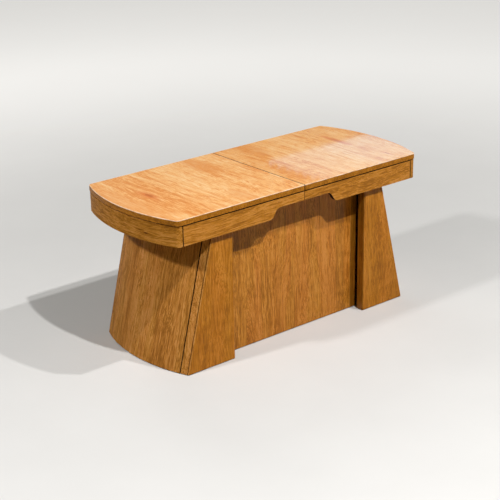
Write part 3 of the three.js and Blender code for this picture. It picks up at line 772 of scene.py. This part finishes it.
def bowedPanel(side, tree):
    panel = {"bendSteps": 57, "sharperThan": 50}
    nodeName = side + "_pedestal_panel"
    low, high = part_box(nodeName)
    besideIt = nodes[side + "_near_pedestal_board"]
    halfDepth = max(abs(corner[1]) for corner in besideIt.bound_box)
    centre, radius = bowArc(sizes["pedestalCorner"], halfDepth, sizes["pedestalBow"])
    made = bpy.data.objects.new(nodeName + "_board", bpy.data.meshes.new(nodeName + "_board"))
    scene.collection.objects.link(made)
    bend = made.modifiers.new("bend", "NODES")
    bend.node_group = tree
    setInputs(bend, {
        "Centre": centre, "Radius": radius, "Half Depth": high.y, "Thickness": sizes["panelThickness"],
        "Line Width": sizes["jointLine"], "Line Depth": sizes["lineDepth"], "Bottom": low.z,
        "Height": high.z - low.z, "Lean": sizes["lean"], "Bend Steps": panel["bendSteps"],
        "Turn": -1.0 if side == "right" else 1.0, "Material": wood[side + "Panel"],
    })
    bakeModifiers(made)
    bm = bmesh.new()
    bm.from_mesh(made.data)
    bmesh.ops.recalc_face_normals(bm, faces=bm.faces)
    easeEdges(bm, sizes["arris"], panel["sharperThan"])
    board = bm.verts.layers.float_vector["board"]
    # the faces inside the joint lines are painted near black: stain and painted shade of the grooves
    line = bm.faces.layers.float.new("line")
    lineFrom = high.y - sizes["jointLine"] - sizes["nearLine"]
    for face in bm.faces:
        deep = max(vert[board].z for vert in face.verts)
        wide = min(abs(vert.co.y) for vert in face.verts)
        face[line] = float(deep < sizes["lineDepth"] + sizes["spare"] and wide > lineFrom)
    name = made.name
    bpy.data.objects.remove(made)
    standFor(finishMesh(name, bm, [wood[side + "Panel"]]), nodeName)


# Screw heads with a cross recess, one at every point, turned by a fixed seed
def screwTree():
    head = {"topShare": 0.86, "recessShare": 1.2}      # of the radius
    lengths = ("Radius", "Proud", "Recess Width", "Recess Depth")
    tree, given, out = geometryTree("screwHeads", lengths, {"Facets": "Int", "Seed": "Int"})
    disc = node(tree, "GeometryNodeMeshCone", {
        "Vertices": given["Facets"], "Radius Top": calc(tree, "MULTIPLY", given["Radius"], head["topShare"]),
        "Radius Bottom": given["Radius"], "Depth": given["Proud"],
    })
    length = calc(tree, "MULTIPLY", given["Radius"], head["recessShare"])
    deep = calc(tree, "MULTIPLY", given["Recess Depth"], 2.0)
    recess = node(tree, "GeometryNodeMeshBoolean", operation="DIFFERENCE", solver="EXACT")
    tree.links.new(disc.outputs["Mesh"], recess.inputs["Mesh 1"])
    for size in ((length, given["Recess Width"], deep), (given["Recess Width"], length, deep)):
        bar = node(tree, "GeometryNodeMeshCube", {"Size": vector(tree, *size)})
        raisedBar = node(tree, "GeometryNodeTransform", {
            "Geometry": bar.outputs["Mesh"], "Translation": vector(tree, 0.0, 0.0, given["Proud"]),
        })
        tree.links.new(raisedBar.outputs["Geometry"], recess.inputs["Mesh 2"])
    direction = node(tree, "GeometryNodeInputNamedAttribute", {"Name": "direction"}, data_type="FLOAT_VECTOR")
    aligned = node(tree, "FunctionNodeAlignRotationToVector", {"Vector": direction.outputs[0]}, axis="Z")
    spin = node(tree, "FunctionNodeRandomValue", data_type="FLOAT")
    tree.links.new(given["Seed"], spin.inputs["Seed"])
    turn = node(tree, "FunctionNodeAxisAngleToRotation", {"Axis": (0, 0, 1)})
    tree.links.new(calc(tree, "MULTIPLY", spin.outputs[1], pi), turn.inputs["Angle"])
    both = {0: aligned.outputs[0], 1: turn.outputs[0]}
    turned = node(tree, "FunctionNodeRotateRotation", both, rotation_space="LOCAL")
    placed = node(tree, "GeometryNodeInstanceOnPoints", {
        "Points": given["Geometry"], "Instance": recess.outputs["Mesh"], "Rotation": turned.outputs[0],
    })
    return endTree(tree, out, placed.outputs["Instances"], given["Material"])


def driveScrews(body, places, tree):
    screw = {
        "Radius": 0.0038, "Proud": 0.0004, "Recess Width": 0.0009, "Recess Depth": 0.0003,
        "Facets": 20, "Seed": 7,
    }
    points = []
    for nodeName, start, direction in places:
        mesh = nodes[nodeName].data
        surface = BVHTree.FromPolygons([v.co for v in mesh.vertices], [p.vertices for p in mesh.polygons])
        points.append(surface.ray_cast(Vector(start), Vector(direction))[:2])
    mesh = bpy.data.meshes.new(body + "_screws")
    mesh.from_pydata([spot for spot, normal in points], [], [])
    directions = mesh.attributes.new("direction", "FLOAT_VECTOR", "POINT")
    for item, (spot, normal) in zip(directions.data, points):
        item.vector = normal
    made = bpy.data.objects.new(body + "_screws", mesh)
    scene.collection.objects.link(made)
    heads = made.modifiers.new("heads", "NODES")
    heads.node_group = tree
    setInputs(heads, {**screw, "Material": steel})
    bakeModifiers(made)
    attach(made, body)


# Where each half is screwed together: a node, a point off its face and the way the driver points
def halfScrews(side):
    turn = -1 if side == "right" else 1
    up, outwards = (0, 0, 1), (-turn, 0, 0)
    places = []

    def add(piece, x, y, z, direction):
        places.append((f"{side}_{piece}", (x * turn, y * turn, z), direction))

    for x in (-0.265, -0.190, -0.110, -0.030):
        add("near_runner", x, -0.1577, 0.38, up)
        add("far_runner", x, 0.1203, 0.38, up)
    for y in (-0.165, -0.055, 0.055, 0.165):
        add("end_bearer", -0.371, y, 0.38, up)
    for z in (0.402, 0.428):
        add("near_corner_block", -0.40, -0.14, z, (-turn, -turn, 0))
        add("far_corner_block", -0.40, 0.14, z, (-turn, turn, 0))
    for y in (-0.085, 0.0, 0.085):
        add("head_cleat", -0.20, y, 0.428, outwards)
        add("foot_cleat", -0.262, y * 1.6, 0.014, outwards)
    return places


def railScrews():
    places = []
    for name, y in (("front_rail", -0.139), ("back_rail", 0.139)):
        for x in (-0.232, -0.155, -0.078, 0.078, 0.155, 0.232):
            places.append((name, (x, y, 0.5), (0, 0, -1)))
    return places


# Woods: one material per board that shows, so that no two boards share a grain
topSeeds = {"left": 33.25, "right": 49.5}
topKnots = {
    "left": [((0.012, -0.373, 0), 0.015, 3.0, 0.3)],
    "right": [((0.052, 0.360, 0), 0.010, 7.0, 0.2), ((-0.150, 0.380, 0), 0.004, 5.0, 0.5)],
}
topPatches = {
    "left": [
        # painted shade: the top darkens towards its left end, where the light falls off
        ((0, -0.475, 0), 0.065, 3.6, 0.45),
        ((0.125, -0.105, 0), 0.035, 2.6, 0.6),
        ((-0.16, -0.18, 0), 0.03, 2.2, 0.4),
    ],
    "right": [((0.15, 0.10, 0), 0.035, 2.4, 0.5), ((-0.05, 0.030, 0), 0.025, 6.0, 0.2)],
}
apronKnots = {
    "left": [((-0.1055, 0.4047, 0), 0.0034, 4.0, 0.9), ((-0.085, 0.409, 0), 0.002, 8.0, 0.6)],
    "right": [((0.120, 0.410, 0), 0.003, 4.0, 0.6)],
}
looks = {
    "top": {"leaf": (0.155, 0.4), "figure": 0.8, "pores": 0.6, "coat": 0.28},
    "apron": {"contrast": 1.6, "glueLine": ("X", 0.4225, 0.0010)},
    "endApron": {"contrast": 1.6, "coat": 0.02},
    "board": {"figure": 0.6, "blush": 0.4, "glueLine": ("Z", 0.1872, 0.0007)},
    "strip": {"figure": 0.6, "contrast": 1.45, "blush": 0.3, "coat": 0.02, "glueLine": ("Z", 0.1872, 0.0010)},
    "panel": {
        "leaf": (0.15, 0.12), "figure": 0.6, "contrast": 1.45, "blush": 0.3, "coat": 0.02,
        "glueLine": ("Y", 0.1670, 0.0010),
    },
    "box": {"leaf": (0.17, 0.14), "figure": 0.7, "blush": 0.6},
}
wood = {
    "lipping": woodMaterial("lipping", "lipping", 1.7, coat=0.06, wear=0.75),
    "inner": woodMaterial("innerWood", "inner", 4.4, coat=0.0),
    "edge": woodMaterial("boardEdge", "edge", 7.9),
}
for index, side in enumerate(("left", "right")):
    wood[side + "Top"] = woodMaterial(
        side + "Top", "rightTop" if side == "right" else "top", topSeeds[side],
        knots=topKnots[side], patches=topPatches[side], **looks["top"],
    )
    for place in ("near", "far"):
        name = side + place.title()
        seed = 11.3 + 5.9 * index + (2.3 if place == "far" else 0.0)
        wood[name + "Apron"] = woodMaterial(name + "Apron", "apron", seed, **looks["apron"])
        wood[name + "Board"] = woodMaterial(name + "Board", "pedestal", seed + 21.4, **looks["board"])
    wood[side + "EndApron"] = woodMaterial(
        side + "EndApron", "endApron", 31.7 + index, knots=apronKnots[side], **looks["endApron"],
    )
    wood[side + "Panel"] = woodMaterial(side + "Panel", "panel", 41.9 + index * 3, **looks["panel"])
    wood[side + "Strip"] = woodMaterial(side + "Strip", "panel", 43.3 + index * 3, **looks["strip"])
for index, place in enumerate(("front", "back", "left_end", "right_end")):
    palette = "edge" if "end" in place else "box"
    wood["box_" + place] = woodMaterial("box_" + place, palette, 51.2 + 2.7 * index, **looks["box"])
steel = metalMaterial("zincSteel", (0.55, 0.56, 0.58, 1), 0.28, (30, 700, 700))
brass = metalMaterial("cutBrass", (0.62, 0.43, 0.17, 1), 0.25, (400, 400, 400))
nylon = nylonMaterial()
print("materials made")


# The lines of a long apron, under the slab, beside the end apron and at the seam, painted near black as stain
# and painted shade
def inApronLine(p):
    stainAndShadeAtSeam = 0.0014
    depth = sizes["seatDepth"] / 2 - sizes["apronSetback"] - abs(p.y)
    underSlab = p.z > sizes["slabBottom"] - sizes["shadowLine"] - sizes["nearLine"]
    besideEnd = abs(p.x) > sizes["besideEnd"] - sizes["nearLine"]
    inRebate = depth < sizes["lineDepth"] + sizes["spare"] and (underSlab or besideEnd)
    return inRebate or abs(p.x) < stainAndShadeAtSeam


# A pedestal board is darker on its edge beside the box, and its outer end is like the panel's wood
def pedestalFace(face):
    outwards = face.normal.x * face.calc_center_median().x
    if abs(face.normal.x) < 0.5:
        return 0
    return 2 if outwards > 0 else 1


def dressHalf(side, panelTree):
    seatSlab(side)
    bowedApron(side)
    bowedPanel(side, panelTree)
    inner = [wood["inner"]]
    for place in ("near", "far"):
        name = side + place.title()
        straightBoard(f"{side}_{place}_apron", "x", [wood[name + "Apron"]], inLine=inApronLine)
        pedestalWoods = [wood[name + "Board"], wood["edge"], wood[side + "Strip"]]
        straightBoard(f"{side}_{place}_pedestal_board", "upright", pedestalWoods, faceMaterial=pedestalFace)
        straightBoard(f"{side}_{place}_corner_block", "upright", inner, 0.0008)
        straightBoard(f"{side}_{place}_runner", "x", inner, 0.0005)
    for name in ("end_bearer", "head_cleat", "foot_cleat"):
        straightBoard(f"{side}_{name}", "underY", inner, 0.001)
    straightBoard(f"{side}_seam_dowel", "x", inner, 0.0003)


def dressBox():
    for name in ("box_front", "box_back"):
        straightBoard(name, "upright", [wood[name]])
    for name in ("box_left_end", "box_right_end"):
        straightBoard(name, "uprightSide", [wood[name]])
    for name in ("box_floor", "front_rail", "back_rail"):
        straightBoard(name, "x", [wood["inner"]], 0.0005)


def dressHardware():
    finishes = {"rack": steel, "axle": steel, "pinion": brass, "glide": nylon}
    for name, made in nodes.items():
        ending = name.rsplit("_", 1)[-1]
        if ending in finishes:
            made.data.materials.clear()
            made.data.materials.append(finishes[ending])


panelTree = bowedPanelTree()
for side in ("left", "right"):
    dressHalf(side, panelTree)
dressBox()
dressHardware()
headTree = screwTree()
for side in ("left", "right"):
    driveScrews(side + "_half", halfScrews(side), headTree)
driveScrews("box", railScrews(), headTree)
print("boards dressed, screws driven")


# A floor that sweeps up far behind the bench, so that low views show no horizon
def layFloor():
    sweep = {"reach": 14, "squares": 56, "riseFrom": 8, "rise": 3}
    bm = bmesh.new()
    bmesh.ops.create_grid(bm, x_segments=sweep["squares"], y_segments=sweep["squares"], size=sweep["reach"])
    for vert in bm.verts:
        out = max(0, vert.co.length - sweep["riseFrom"]) / (sweep["reach"] - sweep["riseFrom"])
        vert.co.z = sweep["rise"] * min(out, 1) ** 2
    for face in bm.faces:
        face.smooth = True
    mesh = bpy.data.meshes.new("floor")
    bm.to_mesh(mesh)
    bm.free()
    floor = bpy.data.objects.new("floor", mesh)
    mesh.materials.append(floorMaterial())
    scene.collection.objects.link(floor)


layFloor()
print("bench finished")
